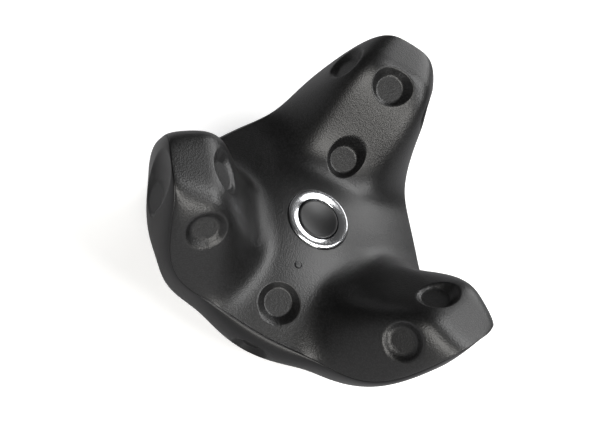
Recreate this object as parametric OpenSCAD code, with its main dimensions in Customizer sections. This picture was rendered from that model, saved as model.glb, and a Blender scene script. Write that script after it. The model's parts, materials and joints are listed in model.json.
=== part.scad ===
/* [Body outline] */
// Height of the top face at the button above the table
button_h = 24.1; // [23:0.1:26]
// Reach of an arm from the centre to the seam
arm_r = 41.1; // [39:0.1:43]
// Distance from the centre to the seam between two arms
valley_r = 28.3; // [27.5:0.1:30]
// Half angle over which the arm keeps its reach
arm_angle = 29.4; // [27:0.2:31]
// Squareness of the arm in plan
arm_square = 5.4; // [4.5:0.1:6]

/* [Seam] */
// Height of the seam at an arm's tip
seam_tip_h = 43.9; // [42.5:0.1:45]
// Height of the seam between two arms
seam_valley_h = 16.8; // [16:0.1:18]
// Half angle over which the seam stays high
seam_angle = 17.8; // [16.5:0.1:19]
// Steepness of the seam beside the arm
seam_square = 4.2; // [3.6:0.1:5]
// Open line between the two housing halves
seam_gap = 0.2; // [0.1:0.05:0.3]

/* [Arms] */
// Height of the arm's crest above the table
crest_h = 44.1; // [43:0.1:45.5]
// Distance from the centre where the arm starts to rise
rise_start = 8.8; // [7:0.1:11]
// Distance from the centre where the arm reaches its crest
rise_end = 34.7; // [33:0.1:36]
// Half width of the arm's crest
crest_half_w = 13.8; // [13:0.1:14.5]
// Squareness of the arm in section
crest_square = 5.8; // [5:0.1:6.5]
// Distance from the centre where the arm reaches its full width
full_width_at = 29; // [27.5:0.1:30.5]
// Radius of the shallow dome between the arms
dome_r = 54.3; // [50:0.5:60]
// Sharpness of the rounding along the seam
rim_sharpness = 13; // [10:0.5:15]

/* [Housing] */
// Wall thickness of both housing halves
wall = 1.8; // [1.6:0.1:2.2]
// Height of the locating lip inside the seam
lip_h = 1.2; // [0.8:0.1:1.5]
// Thickness of the locating lip
lip_t = 0.8; // [0.6:0.1:1]
// Clearance between the lip and the wall
lip_gap = 0.2; // [0.1:0.05:0.3]
// Radius of the flat ring that the side wall ends in
foot_r = 21.9; // [21.5:0.1:22.5]
// Swell of the wall below the seam at an arm's tip
tip_swell = 1; // [0.5:0.1:1.3]
// Swell of the wall below the seam between two arms
valley_swell = 1.7; // [1.2:0.1:2]
// Thickness of the ledge that carries the base cover and the frame
ledge_t = 3; // [2.6:0.1:3.4]
// Inner radius of the ledge
ledge_r = 16.8; // [16.6:0.1:17.2]

/* [Sensor dimples] */
// Diameter of a dimple at its rim
dimple_d = 9.5; // [9:0.1:10]
// Diameter of a dimple's flat floor
dimple_floor_d = 6.1; // [5.8:0.1:6.5]
// Depth of a dimple
dimple_depth = 2.3; // [2:0.1:2.6]
// Wall left behind a dimple's floor
dimple_wall = 1.1; // [0.9:0.1:1.4]
// Distance of the crest dimple from the centre
crest_dimple_at = 28.3; // [27.5:0.1:29.5]
// Distance of the flank dimples along the arm
flank_dimple_at = 32.5; // [31.5:0.1:33]
// Distance of the flank dimples from the arm's middle
flank_dimple_side = 11.3; // [10.8:0.1:11.6]
// Distance of the dimple between the button and the first arm
root_dimple_at = 17; // [16.5:0.1:18]
// Distance of the dimple between the button and the edge
edge_dimple_at = 21.2; // [20.8:0.1:21.6]
// Lean of the crest dimples from upright towards the centre
crest_dimple_lean = 33; // [30:1:40]
// Lean of the flank dimples from upright to the side
flank_dimple_lean = 61; // [57:1:65]
// Lean of the dimple between the button and the first arm
root_dimple_lean = 34; // [30:1:38]
// Lean of the dimple between the button and the edge
edge_dimple_lean = 24; // [20:1:27]
// Height of an end dimple's floor at its middle
end_dimple_h = 28.8; // [28:0.1:29.6]
// Distance of an end dimple's floor from the centre
end_dimple_at = 39.3; // [39:0.1:39.6]
// Upward lean of an end dimple's floor
end_dimple_lean = 7; // [4:1:9]
// How far an end dimple's rim reaches up past its floor's middle
end_dimple_reach = 11.4; // [10:0.2:12]
// Diameter of an end dimple's rim
end_dimple_d = 10.6; // [10:0.1:11]

/* [Button] */
// Diameter of the bright ring round the button
ring_d = 14.4; // [13.5:0.1:15]
// Diameter of the button's face
button_d = 9.5; // [9:0.1:10]
// Travel of the button
button_travel = 0.4; // [0.3:0.05:0.5]
// Running clearance round the button
button_gap = 0.15; // [0.1:0.05:0.2]
// Depth of the dish in the button's face
button_dish = 0.35; // [0.2:0.05:0.5]

/* [Underside] */
// Diameter of the tripod thread's wall
thread_d = 6.35; // [6.35]
// Outer diameter of the thread insert
insert_d = 10.4; // [9.6:0.2:11]
// Length of the thread insert
insert_l = 6.4; // [6:0.1:6.6]
// Diameter of the stabilising pin's recess
pin_recess_d = 4.6; // [4.2:0.1:4.8]
// Depth of the stabilising pin's recess
pin_recess_depth = 3.6; // [3:0.1:3.8]
// Distance of the pin recess from the thread
pin_recess_at = 13.2; // [13:0.1:13.4]
// Thickness of the grip pad
pad_t = 0.8; // [0.7:0.1:1]
// Height that the grip pad stands proud of the base
pad_proud = 0.4; // [0.3:0.05:0.5]
// Thickness of the base cover
cover_t = 2; // [1.8:0.1:2.2]
// Radius of the base cover
cover_r = 20.5; // [20.3:0.1:20.6]
// Pitch of the contact pins
contact_pitch = 2.2; // [2:0.05:2.3]

/* [Inside] */
// Thickness of the inner frame's plate
frame_t = 1.2; // [1:0.1:1.4]
// Radius of the main board
board_r = 20.3; // [20:0.1:20.6]
// Thickness of the main board
board_t = 1; // [0.8:0.1:1.2]
// Length of the battery
battery_l = 26; // [24:0.2:26.4]
// Width of the battery
battery_w = 24; // [22:0.2:25]
// Thickness of the battery
battery_t = 5.2; // [4.8:0.1:5.4]
// Space between the battery and the board
board_space = 1.5; // [1.4:0.1:1.8]
// Width of the cable socket's shell
socket_w = 8.94; // [8.94]
// Height of the cable socket's shell
socket_h = 3.26; // [3.26]
// Length of the cable socket's shell
socket_l = 7.3; // [7:0.1:7.4]

/* [Hidden] */

facets = 72;
angles = [for (i = [0:facets - 1]) i * 360 / facets];
arm_turns = [0, 120, 240];
valley_turns = [60, 180, 300];
usb_turn = 60;
eps = 0.01;
fit_gap = 0.1;
seat_gap = 0.1;

// A wall is straighter at the tips and hollow beside the arms
tip_fullness = 1.8;
flank_fullness = 0.78;
wall_round = 0.5;
foot_z = pad_proud;
cover_top = foot_z + cover_t;
ledge_z = cover_top;
ledge_top = ledge_z + ledge_t;
frame_z = ledge_top + 3.2;
frame_top = frame_z + frame_t;
frame_arm_l = 29.8;
frame_arm_w = 9;
battery_z = frame_top + 0.3;
board_z = battery_z + battery_t + board_space;
board_top = board_z + board_t;

// Screws on the ledge stand between the arms' middles
shell_screw_r = 18.9;
shell_screw_turns = [30, 150, 270];
base_screw_r = 18.75;
base_screw_turns = [90, 210, 330];
post_r = 18;
screw_r = 1;
screw_gap = 0.1;
head_r = 1.7;
head_h = 1.4;
boss_r = 2.4;
boss_play = 0.2;
// The inner frame keeps a rim outside the housing's bosses
frame_rim = 0.5;
frame_r = shell_screw_r + boss_r + boss_play + frame_rim;
boss_z = ledge_top + 0.1;

ring_r = ring_d / 2;
button_r = button_d / 2;
ring_seat = 1.2;
switch_half = 3;
switch_h = 1.7;
plunger_r = 1.4;
flange_z = board_top + 2.9;
flange_t = 0.8;
led_at = 12.35;
pipe_r = 0.65;

// Runs smoothly from 0 to 1 with no kink at either end
function ease(x) = let (c = max(0, min(1, x))) c * c * c * (10 - 15 * c + 6 * c * c);
// Angle from the middle of the nearest arm, 0 to 60
function fold(t) = abs(((t + 420) % 120) - 60);
// Smooth hump, 1 at an arm's middle and 0 between two arms
function hump(t, half, square) =
    let (far = 1 / (1 + pow(1 / sin(1.5 * half), square)))
    (1 / (1 + pow(sin(1.5 * fold(t)) / sin(1.5 * half), square)) - far) / (1 - far);
function seam_r(t) = valley_r + (arm_r - valley_r) * hump(t, arm_angle, arm_square);
function seam_z(t) = seam_valley_h + (seam_tip_h - seam_valley_h) * hump(t, seam_angle, seam_square);

// Height of the crowned top with its three arms, set in by a thickness
function crown(r, t, skin) =
    let (along = r * cos(fold(t)), side = r * sin(fold(t)))
    let (back = (full_width_at - along) / (full_width_at - rise_start + 1))
    let (half = (crest_half_w - skin) * sqrt(1 - pow(max(0, min(0.999, back)), 2)))
    let (lift = ease((along - rise_start - skin) / (rise_end - rise_start)))
    let (arm = lift / (1 + pow(side / half, crest_square)))
    (button_h - skin - r * r / 2 / dome_r) * (1 - arm) + (crest_h - skin) * arm;
// Top face from the centre (0) to the seam (1)
function top_z(share, t, edge_r, edge_z, skin) =
    let (rim = crown(edge_r, t, skin))
    crown(share * edge_r, t, skin)
    + (edge_z - rim) * (1 - sqrt(max(0, 1 - pow(share, rim_sharpness))));
function top_point(r, t) =
    [-r * sin(t), r * cos(t), top_z(r / seam_r(t), t, seam_r(t), seam_z(t), 0)];
// Side wall from the seam (0) to the foot (1)
function wall_r(down, t, edge_r, end_r) =
    let (hollow = pow(sin(3 * fold(t)), 2))
    let (full = tip_fullness * (1 - hollow) + flank_fullness * hollow)
    let (swell = valley_swell + (tip_swell - valley_swell) * hump(t, arm_angle, arm_square))
    end_r + (edge_r - end_r) * pow(max(0, 1 - pow(down, full)), wall_round)
    + swell * sin(180 * pow(down, 0.6));
function wall_z(down, t, end_z) = end_z + (seam_z(t) - seam_gap - end_z) * (1 - down);
function wall_point(down, t) =
    let (r = wall_r(down, t, seam_r(t), foot_r))
    [-r * sin(t), r * cos(t), wall_z(down, t, foot_z)];

function unit(v) = v / norm(v);
// Outward direction of the top face
function top_normal(r, t) =
    let (a = top_point(r + 0.2, t) - top_point(r - 0.2, t))
    let (b = top_point(r, t + 0.6) - top_point(r, t - 0.6))
    unit(cross(a, b));
// Outward direction of the side wall
function wall_normal(down, t) =
    let (a = wall_point(down + 0.02, t) - wall_point(down - 0.02, t))
    let (b = wall_point(down, t + 0.6) - wall_point(down, t - 0.6))
    unit(cross(a, b));

// Solid skinned over rings that share their angles, with centre points when capped
module skinned(rings, capped) {
    n = facets;
    m = len(rings);
    centres = capped ? [[0, 0, rings[0][0][2]], [0, 0, rings[m - 1][0][2]]] : [];
    points = concat([for (ring = rings) each ring], centres);
    last = capped ? m - 2 : m - 1;
    sides = [for (i = [0:last]) for (j = [0:n - 1])
        let (k = (i + 1) % m, q = (j + 1) % n)
        each [[i * n + j, i * n + q, k * n + q], [i * n + j, k * n + q, k * n + j]]];
    caps = capped ? [for (j = [0:n - 1]) let (q = (j + 1) % n)
        each [[m * n, q, j], [(m - 1) * n + j, (m - 1) * n + q, m * n + 1]]] : [];
    polyhedron(points = points, faces = concat(sides, caps), convexity = 8);
}
function ring_at(rz) = [for (i = [0:facets - 1])
    [-rz[i][0] * sin(angles[i]), rz[i][0] * cos(angles[i]), rz[i][1]]];
function level_ring(r, z) = ring_at([for (t = angles) [r, z]]);

top_shares = [0.16, 0.3, 0.42, 0.52, 0.61, 0.69, 0.77, 0.84, 0.9, 0.945, 0.975, 0.992, 1];
inner_shares = [0.995, 0.96, 0.9, 0.82, 0.72, 0.61, 0.49, 0.34, 0.16];
wall_shares = [0, 0.03, 0.08, 0.16, 0.26, 0.38, 0.5, 0.62, 0.74, 0.85, 0.93, 0.98, 1];
inner_wall_shares = [1, 0.94, 0.82, 0.66, 0.48, 0.3, 0.13, 0];

function top_ring(share) = ring_at([for (t = angles)
    [share * seam_r(t), top_z(share, t, seam_r(t), seam_z(t), 0)]]);
function lip_r(t) = seam_r(t) - wall - lip_gap;
function inner_r(t) = lip_r(t) - lip_t;
function inner_top_ring(share) = ring_at([for (t = angles)
    [share * inner_r(t), top_z(share, t, inner_r(t), seam_z(t) - lip_h, wall)]]);

module top_skin() {
    skinned(concat([for (s = top_shares) top_ring(s)],
        [ring_at([for (t = angles) [lip_r(t), seam_z(t)]])],
        [ring_at([for (t = angles) [lip_r(t), seam_z(t) - lip_h]])],
        [ring_at([for (t = angles) [inner_r(t), seam_z(t) - lip_h]])],
        [for (s = inner_shares) inner_top_ring(s)]), true);
}
// Everything under the top face, for trimming what grows from inside
module under_top() {
    skinned(concat([for (s = top_shares) top_ring(s)],
        [ring_at([for (t = angles) [seam_r(t) - 0.2, seam_z(t) - 0.2]]), level_ring(20, 0)]), true);
}
function outer_wall_ring(down) = ring_at([for (t = angles)
    [wall_r(down, t, seam_r(t), foot_r), wall_z(down, t, foot_z)]]);
function inner_wall_ring(down) = ring_at([for (t = angles)
    [wall_r(down, t, seam_r(t) - wall, foot_r - 0.4), wall_z(down, t, ledge_z)]]);
module wall_skin() {
    skinned(concat([for (s = wall_shares) outer_wall_ring(s)],
        [level_ring(cover_r + fit_gap, foot_z), level_ring(cover_r + fit_gap, ledge_z)],
        [for (s = inner_wall_shares) inner_wall_ring(s)]), false);
}
// Everything inside the side wall
module inside_wall() {
    skinned(concat([for (s = wall_shares) outer_wall_ring(s)]), true);
}

// Puts a shape on a face, with its +Z along the face's outward direction
module on_face(point, normal) {
    translate(point)
        rotate([0, acos(normal[2]), atan2(normal[1], normal[0])])
            children();
}
// Small turn that keeps a cutter's corners off the skin's own edges
off_edge = 3.3;
dimple_over = 2;
flare = (dimple_d - dimple_floor_d) / 2 / dimple_depth;
floor_r = dimple_floor_d / 2;
// Flat floor with its conical wall, from the middle of the floor outwards
module dimple_cut() {
    top = dimple_depth + dimple_over;
    hull() {
        rotate(off_edge) cylinder(h = eps, r = floor_r, $fn = 24);
        translate([0, 0, top]) rotate(off_edge) cylinder(h = eps, r = floor_r + flare * top, $fn = 24);
    }
}
// Cup behind a dimple, so that the housing goes on behind its floor
module dimple_cup() {
    hull() {
        translate([0, 0, -dimple_wall]) rotate(2 * off_edge)
            cylinder(h = eps, r = floor_r + 0.6, $fn = 16);
        translate([0, 0, dimple_depth - 0.4]) rotate(2 * off_edge)
            cylinder(h = eps, d = dimple_d + 1.6, $fn = 16);
    }
}
// An end dimple's wall runs up in a long ramp, and this is its rim's height over the floor
ramp_h = 2.7;
ramp_over = 1.6;
end_rim_r = end_dimple_d / 2;
module end_cut() {
    hull() {
        rotate(off_edge) cylinder(h = eps, r = floor_r, $fn = 24);
        translate([0, 0, 3]) rotate(off_edge) cylinder(h = eps, r = floor_r + 3.6, $fn = 24);
        translate([-(end_dimple_reach - end_rim_r) * ramp_over, 0, ramp_h * ramp_over]) rotate(off_edge)
            cylinder(h = eps, r = floor_r + (end_rim_r - floor_r) * ramp_over, $fn = 24);
    }
}
module end_cup() {
    hull() {
        translate([0, 0, -dimple_wall]) rotate(2 * off_edge)
            cylinder(h = eps, r = floor_r + 0.6, $fn = 16);
        translate([0, 0, 0.4]) rotate(2 * off_edge)
            cylinder(h = eps, r = end_rim_r + 0.2, $fn = 16);
        translate([-(end_dimple_reach - end_rim_r) - 0.8, 0, ramp_h - 0.4]) rotate(2 * off_edge)
            cylinder(h = eps, r = end_rim_r + 1, $fn = 16);
    }
}
// Clear space behind a dimple's floor, where its sensor sits
sensor_pocket_r = 3;
module sensor_pocket() {
    translate([0, 0, -dimple_wall - 3]) rotate(off_edge)
        cylinder(h = 3, r = sensor_pocket_r, $fn = 20);
}
// Each dimple is the middle of its floor and the direction it looks in
function sunk(point, look) = [point - dimple_depth * look, look];
flank_r = norm([flank_dimple_at, flank_dimple_side]);
flank_turn = atan2(flank_dimple_side, flank_dimple_at);
lobe_dimples = concat(
    [sunk(top_point(crest_dimple_at, 0), [0, -sin(crest_dimple_lean), cos(crest_dimple_lean)])],
    [for (s = [-1, 1]) sunk(top_point(flank_r, s * flank_turn),
        [-s * sin(flank_dimple_lean), 0, cos(flank_dimple_lean)])]);
end_dimple = [[0, end_dimple_at, end_dimple_h], [0, cos(end_dimple_lean), sin(end_dimple_lean)]];
// The root dimple lies in a hollow, so its floor is nearer to the surface
root_dimple = let (look = [0, -sin(root_dimple_lean), cos(root_dimple_lean)])
    [top_point(root_dimple_at, 0) - (dimple_depth - 0.7) * look, look];
edge_dimple = sunk(top_point(edge_dimple_at, 180), [0, -sin(edge_dimple_lean), cos(edge_dimple_lean)]);
valley_down = 0.42;
function valley_dimple(turn) = sunk(wall_point(valley_down, turn), wall_normal(valley_down, turn));
centre_dimples = [root_dimple, edge_dimple];
valley_dimples = [valley_dimple(180), valley_dimple(300)];
module at_dimple(dimple) {
    on_face(dimple[0], dimple[1]) children();
}
// Turns a shape drawn along +Y to a turn from the first arm
module turned(turn) {
    rotate([0, 0, turn]) children();
}

module top_shell() {
    color([0.07, 0.07, 0.075])
        difference() {
            union() {
                difference() {
                    top_skin();
                    // The opening for the ring and the button is bored below
                    translate([0, 0, button_h - 6]) rotate(off_edge)
                        cylinder(h = 12, r = ring_r + fit_gap, $fn = 48);
                }
                intersection() {
                    under_top();
                    union() {
                        for (turn = arm_turns) turned(turn)
                            for (dimple = lobe_dimples) at_dimple(dimple) dimple_cup();
                        for (dimple = centre_dimples) at_dimple(dimple) dimple_cup();
                        for (turn = shell_screw_turns) turned(turn)
                            translate([0, shell_screw_r, boss_z]) rotate(off_edge)
                                cylinder(h = top_point(shell_screw_r, turn)[2] - 1 - boss_z,
                                    r = boss_r, $fn = 24);
                    }
                }
                // Seat ring below the bright ring
                translate([0, 0, button_h - ring_seat - 1.4])
                    rotate(off_edge) difference() {
                        cylinder(h = 1.4, r = ring_r + 1.6, $fn = 48);
                        translate([0, 0, -1]) cylinder(h = 3, r = ring_r - 0.9, $fn = 48);
                    }
            }
            for (turn = arm_turns) turned(turn)
                for (dimple = lobe_dimples) at_dimple(dimple) {
                    dimple_cut();
                    sensor_pocket();
                }
            for (dimple = centre_dimples) at_dimple(dimple) {
                dimple_cut();
                sensor_pocket();
            }
            for (turn = shell_screw_turns) turned(turn)
                translate([0, shell_screw_r, boss_z - 1]) rotate(2 * off_edge)
                    cylinder(h = 10, r = screw_r + screw_gap, $fn = 24);
            translate([0, -led_at, 0]) rotate(off_edge)
                cylinder(h = 40, r = pipe_r + fit_gap, $fn = 24);
        }
}

// Rounded slot seen from its open end, drawn along +Y
module slot_solid(w, h, l) {
    hull() for (s = [-1, 1])
        translate([s * (w - h) / 2, 0, 0]) rotate([-90, 0, 0]) cylinder(h = l, d = h, $fn = 24);
}
usb_floor = frame_top + 0.8;
usb_z = usb_floor + socket_h / 2 + 0.05;
usb_down = 1 - (usb_z - foot_z) / (seam_z(usb_turn) - seam_gap - foot_z);
usb_face_r = wall_r(usb_down, usb_turn, seam_r(usb_turn), foot_r);
usb_mouth_r = usb_face_r - 0.4;
plug_recess = 0.9;
module bottom_shell() {
    color([0.09, 0.09, 0.1])
        difference() {
            union() {
                wall_skin();
                translate([0, 0, ledge_z])
                    rotate(0.7) difference() {
                        cylinder(h = ledge_t, r = foot_r - 0.2, $fn = 72);
                        translate([0, 0, -1]) cylinder(h = ledge_t + 2, r = ledge_r, $fn = 72);
                    }
                intersection() {
                    inside_wall();
                    union() {
                        for (turn = arm_turns) turned(turn) at_dimple(end_dimple) end_cup();
                        for (dimple = valley_dimples) at_dimple(dimple) dimple_cup();
                    }
                }
            }
            for (turn = arm_turns) turned(turn) at_dimple(end_dimple) {
                end_cut();
                sensor_pocket();
            }
            for (dimple = valley_dimples) at_dimple(dimple) {
                dimple_cut();
                sensor_pocket();
            }
            for (turn = shell_screw_turns) turned(turn) translate([0, shell_screw_r, 0]) rotate(off_edge) {
                cylinder(h = 12, r = screw_r + screw_gap, $fn = 24);
                translate([0, 0, -1]) cylinder(h = ledge_z + 1 + head_h + 0.1, r = head_r + 0.15, $fn = 24);
            }
            for (turn = base_screw_turns) turned(turn) translate([0, base_screw_r, 0]) rotate(off_edge)
                cylinder(h = 12, r = screw_r + screw_gap, $fn = 24);
            turned(usb_turn) translate([0, usb_mouth_r - 3, usb_z]) {
                slot_solid(socket_w + 0.3, socket_h + 0.3, 8);
                translate([0, 3.4 - plug_recess, 0]) slot_solid(socket_w + 3.2, socket_h + 3, 8);
            }
        }
}

contact_y = 10.6;
contact_w = 6 * contact_pitch + 1;
contact_block_w = 4;
contact_flange = 0.8;
boss_top = ledge_z + 3;
module cover_openings() {
    translate([0, 0, -1]) cylinder(h = 12, d = insert_d + 2 * fit_gap);
    translate([-contact_w / 2 - fit_gap, contact_y - contact_block_w / 2 - fit_gap, -1])
        cube([contact_w + 2 * fit_gap, contact_block_w + 2 * fit_gap, 12]);
}
module base_cover() {
    color([0.08, 0.08, 0.085])
        difference() {
            union() {
                translate([0, 0, foot_z]) cylinder(h = cover_t, r = cover_r);
                translate([0, 0, foot_z]) cylinder(h = insert_l, d = insert_d + 4);
                translate([0, -pin_recess_at, foot_z])
                    cylinder(h = pin_recess_depth + 1.2, d = pin_recess_d + 2.4);
            }
            cover_openings();
            translate([0, 0, foot_z - 1]) cylinder(h = 1 + pad_t - pad_proud, r = ledge_r + 0.1);
            translate([0, -pin_recess_at, foot_z - 1])
                cylinder(h = pin_recess_depth + 1, d = pin_recess_d);
            for (turn = base_screw_turns) turned(turn) translate([0, base_screw_r, 0]) {
                cylinder(h = 12, r = screw_r + screw_gap);
                translate([0, 0, -1]) cylinder(h = 1 + foot_z + head_h - 0.2, r = head_r + 0.1);
            }
        }
}
module grip_pad() {
    color([0.12, 0.12, 0.12])
        difference() {
            cylinder(h = pad_t - 0.02, r = ledge_r);
            cover_openings();
            // Channel that the stabilising pin slides in along, and the joint of the two halves
            translate([-pin_recess_d / 2 - 0.3, -ledge_r - 1, -1]) cube([pin_recess_d + 0.6, ledge_r + 1, 4]);
            translate([-0.5, 0, -1]) cube([1, ledge_r + 1, 4]);
        }
}
module thread_insert() {
    color([0.72, 0.6, 0.32])
        translate([0, 0, foot_z])
            difference() {
                union() {
                    cylinder(h = insert_l, d = insert_d);
                    // Flange that holds the insert in the cover
                    translate([0, 0, insert_l]) cylinder(h = 0.8, d = insert_d + 1.6);
                }
                translate([0, 0, -1]) cylinder(h = insert_l + 4, d = thread_d);
            }
}
module contact_block() {
    color([0.1, 0.1, 0.1])
        difference() {
            union() {
                translate([-contact_w / 2, contact_y - contact_block_w / 2, foot_z])
                    cube([contact_w, contact_block_w, cover_t + contact_flange]);
                translate([-contact_w / 2 - 0.8, contact_y - contact_block_w / 2 - 0.3, cover_top + 0.02])
                    cube([contact_w + 1.6, contact_block_w + 1, contact_flange]);
            }
            for (i = [0:5]) translate([(i - 2.5) * contact_pitch, contact_y, 0])
                cylinder(h = 8, r = 0.75 + 0.05);
        }
}
module contact_pins() {
    color([0.85, 0.68, 0.3])
        for (i = [0:5]) translate([(i - 2.5) * contact_pitch, contact_y, foot_z + 0.3]) {
            cylinder(h = cover_t + 0.9, r = 0.75);
            translate([0, 0, cover_t + 0.6]) cylinder(h = 0.4, r = 1);
        }
}
module screw(shank_l) {
    translate([0, 0, head_h - eps]) cylinder(h = shank_l, r = screw_r);
    difference() {
        cylinder(h = head_h, r = head_r);
        // Six-lobed drive drawn as a plain socket
        translate([0, 0, -eps]) cylinder(h = 0.8, r = 0.8, $fn = 6);
    }
}
module base_screws() {
    color([0.3, 0.3, 0.32])
        for (turn = base_screw_turns) turned(turn)
            translate([0, base_screw_r, foot_z - 0.25]) screw(frame_z - 1.2);
}
module shell_screws() {
    color([0.3, 0.3, 0.32])
        for (turn = shell_screw_turns) turned(turn)
            translate([0, shell_screw_r, ledge_z + 0.05]) screw(9.5);
}

module inner_frame() {
    color([0.16, 0.16, 0.17])
        difference() {
            union() {
                translate([0, 0, frame_z]) cylinder(h = frame_t, r = frame_r);
                for (turn = arm_turns) turned(turn)
                    translate([-frame_arm_w / 2, 0, frame_z]) cube([frame_arm_w, frame_arm_l, frame_t]);
                // Tab below the cable socket's board
                turned(usb_turn) translate([-6, 0, frame_z]) cube([12, frame_r + 4, frame_t]);
                for (turn = base_screw_turns) turned(turn) {
                    translate([0, base_screw_r, ledge_top + 0.02])
                        cylinder(h = frame_z - ledge_top, r = boss_r);
                    translate([0, post_r, frame_z + 0.3])
                        cylinder(h = board_z - frame_z - 0.32, r = 2);
                }
                // Post behind the sensor of the edge dimple
                translate([0, -edge_sensor[0], frame_z + 0.3])
                    cylinder(h = edge_sensor[1] - frame_z - 0.3, r = 1.6);
            }
            for (turn = shell_screw_turns) turned(turn) translate([0, shell_screw_r, 0])
                cylinder(h = 30, r = boss_r + boss_play);
            for (turn = base_screw_turns) turned(turn) {
                translate([0, base_screw_r, 0]) cylinder(h = frame_z + 0.4, r = screw_r + 0.05);
                translate([0, post_r, board_z - 3]) cylinder(h = 10, r = 0.85);
            }
        }
}
module frame_screws() {
    color([0.5, 0.5, 0.52])
        for (turn = base_screw_turns) turned(turn) translate([0, post_r, board_top + 0.02]) {
            translate([0, 0, -board_t - 1.8]) cylinder(h = board_t + 2, r = 0.8);
            difference() {
                cylinder(h = 0.9, r = 1.5);
                translate([0, 0, 0.4]) cylinder(h = 1, r = 0.7, $fn = 6);
            }
        }
}
module battery() {
    color([0.62, 0.64, 0.66])
        translate([0, 0, battery_z])
            linear_extrude(battery_t)
                difference() {
                    square([battery_w, battery_l], center = true);
                    for (x = [-1, 1]) for (y = [-1, 1])
                        translate([x * battery_w / 2, y * battery_l / 2]) rotate(45)
                            square(1.2, center = true);
                }
}
module battery_pad() {
    color([0.2, 0.2, 0.2])
        translate([0, 0, frame_top + 0.02])
            linear_extrude(0.26) square([battery_w - 4, battery_l - 4], center = true);
}
wire_x = battery_w / 2 + 2.6;
connector_y = 3;
connector_h = 1.4;
module battery_wires() {
    color([0.6, 0.08, 0.06])
        for (s = [-1, 1]) translate([0, connector_y + s * 1, battery_z + battery_t / 2]) {
            translate([battery_w / 2 + 0.02, 0, 0]) rotate([0, 90, 0]) cylinder(h = 2.58, r = 0.5);
            translate([wire_x, 0, 0]) sphere(r = 0.5, $fn = 32);
            translate([wire_x, 0, 0])
                cylinder(h = board_z - connector_h - 0.04 - battery_z - battery_t / 2, r = 0.5);
        }
}
module battery_connector() {
    color([0.86, 0.84, 0.78])
        translate([wire_x - 1.6, connector_y - 2.6, board_z - connector_h - 0.02])
            cube([3.2, 5.2, connector_h]);
}
module main_board() {
    color([0.05, 0.22, 0.14])
        difference() {
            translate([0, 0, board_z]) cylinder(h = board_t, r = board_r);
            for (turn = shell_screw_turns) turned(turn) translate([0, shell_screw_r, board_z - 1])
                cylinder(h = 4, r = boss_r + 0.35);
            for (turn = base_screw_turns) turned(turn) translate([0, post_r, board_z - 1])
                cylinder(h = 4, r = 0.9);
            // Notch for the cup of the edge dimple
            translate([0, -edge_dimple_at, board_z - 1]) cylinder(h = 4, r = 6.4);
        }
}
shield_l = 10.5;
shield_w = 11;
shield_h = 1.3;
shield_out = 15;
module shield_can() {
    color([0.75, 0.76, 0.78])
        translate([-shield_out, -shield_w * 4 / 11, board_top + 0.02]) difference() {
            cube([shield_l, shield_w, shield_h]);
            // Round openings in the lid
            for (share = [2 / 7, 5 / 7]) translate([shield_l * share, shield_w / 2, shield_h - 0.4])
                cylinder(h = 1, r = 0.6);
        }
}
module board_chips() {
    color([0.09, 0.09, 0.1])
        translate([0, 0, board_z - 0.92]) {
            translate([-9, -6, 0]) cube([5, 5, 0.9]);
            translate([4, 4, 0]) cube([4, 4, 0.9]);
            translate([1, -9, 0]) cube([3, 3, 0.9]);
        }
}
module chip_antenna() {
    color([0.9, 0.88, 0.8])
        translate([6, -13.6, board_top + 0.02]) cube([7, 2, 0.9]);
}
module switch_body() {
    color([0.14, 0.14, 0.15])
        translate([0, 0, board_top + 0.02]) difference() {
            translate([-switch_half, -switch_half, 0])
                cube([2 * switch_half, 2 * switch_half, switch_h]);
            translate([0, 0, 0.2]) cylinder(h = switch_h, r = plunger_r + 0.06);
        }
}
plunger_z = board_top + 0.8;
plunger_top = board_top + switch_h + 0.45;
module switch_plunger() {
    color([0.55, 0.12, 0.1])
        translate([0, 0, plunger_z]) cylinder(h = plunger_top - plunger_z, r = plunger_r);
}
module power_button() {
    color([0.1, 0.1, 0.105])
        difference() {
            rotate_extrude($fn = 96)
                polygon([
                    [0, plunger_top + 0.03], [1.6, plunger_top + 0.03], [1.6, flange_z],
                    [ring_r - 1.1, flange_z], [ring_r - 1.1, flange_z + flange_t],
                    [button_r, flange_z + flange_t], [button_r, button_h - 0.5],
                    [button_r - 0.4, button_h - 0.1], [0, button_h - 0.1]]);
            // Shallow dish for the fingertip
            dish_r = (button_r * button_r + button_dish * button_dish) / 2 / button_dish;
            translate([0, 0, button_h - 0.1 - button_dish + dish_r]) sphere(r = dish_r * 0.999, $fn = 96);
        }
}
skirt_z = flange_z + flange_t + 0.12;
module button_ring() {
    color([0.85, 0.86, 0.88])
        rotate_extrude($fn = 96)
            polygon([
                [button_r + button_gap, skirt_z], [ring_r - 1, skirt_z],
                [ring_r - 1, button_h - ring_seat + 0.02], [ring_r, button_h - ring_seat + 0.02],
                [ring_r, button_h - 0.3], [ring_r - 0.35, button_h + 0.12],
                [button_r + button_gap + 0.5, button_h - 0.02], [button_r + button_gap, button_h - 0.3]]);
}
led_top = board_top + 0.7;
pipe_top = top_point(led_at, 180)[2] - 0.05;
module light_pipe() {
    color([0.85, 0.87, 0.88])
        translate([0, -led_at, 0]) {
            translate([0, 0, led_top + 0.15]) cylinder(h = pipe_top - led_top - 0.15, r = pipe_r);
            // Collar behind the housing
            translate([0, 0, pipe_top - wall - 1.3]) cylinder(h = 0.8, r = pipe_r + 0.6);
        }
}
module status_led() {
    color([0.92, 0.92, 0.86])
        translate([-0.8, -led_at - 0.6, board_top + 0.02]) cube([1.6, 1.2, led_top - board_top - 0.02]);
}

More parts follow.
